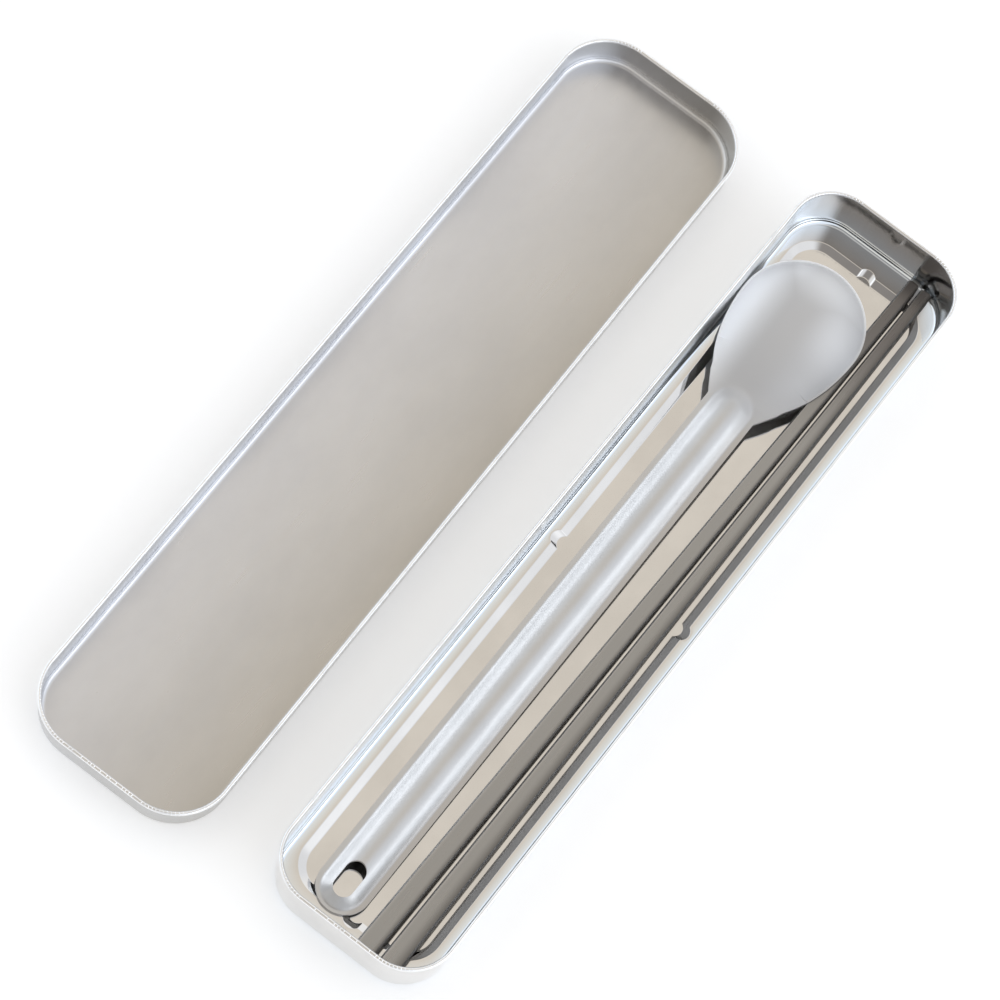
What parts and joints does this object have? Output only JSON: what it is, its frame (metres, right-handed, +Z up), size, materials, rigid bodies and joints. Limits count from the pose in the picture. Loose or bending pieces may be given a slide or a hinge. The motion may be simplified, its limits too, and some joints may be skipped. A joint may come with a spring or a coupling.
{
  "type": "portable chopstick case",
  "caption": "Slim drawn-metal cutlery case, open: rounded tray holding a spoon and tapered square chopsticks, with its slip-on lid beside it.",
  "frame": {"origin": "on the table, in the middle of the ground that the tray and the lid beside it cover", "axes": "+Z up out of the tray, +Y along the case towards the spoon's bowl and the chopstick tips, +X from the lid to the tray"},
  "size_m": [0.1214, 0.2438, 0.0177],
  "materials": {
    "tray_steel": "mirror-polished stainless sheet",
    "lid_steel": "satin stainless sheet",
    "spoon_metal": "bead-blasted bowl, satin handle",
    "stick_metal": "satin, dark grey"
  },
  "bodies": {
    "tray": {"base_tray": "tray_steel"},
    "lid": {"lid": "lid_steel"},
    "spoon": {"spoon": "spoon_metal"},
    "chopstick_left": {"left_stick_shaft": "stick_metal", "left_stick_cap": "stick_metal", "left_stick_tip": "stick_metal"},
    "chopstick_right": {"right_stick_shaft": "stick_metal", "right_stick_cap": "stick_metal", "right_stick_tip": "stick_metal"}
  },
  "joints": [
    {"name": "lid_lift", "type": "slide", "parent": "tray", "child": "lid", "axis": [0, 0, 1], "range_m": [0, 0.06]},
    {"name": "chopstick_left_lift", "type": "slide", "parent": "tray", "child": "chopstick_left", "axis": [0, 0, 1], "range_m": [0, 0.06]},
    {"name": "spoon_lift", "type": "slide", "parent": "chopstick_left", "child": "spoon", "axis": [0, 0, 1], "range_m": [0, 0.06]},
    {"name": "chopstick_right_lift", "type": "slide", "parent": "tray", "child": "chopstick_right", "axis": [0, 0, 1], "range_m": [0, 0.06]}
  ]
}
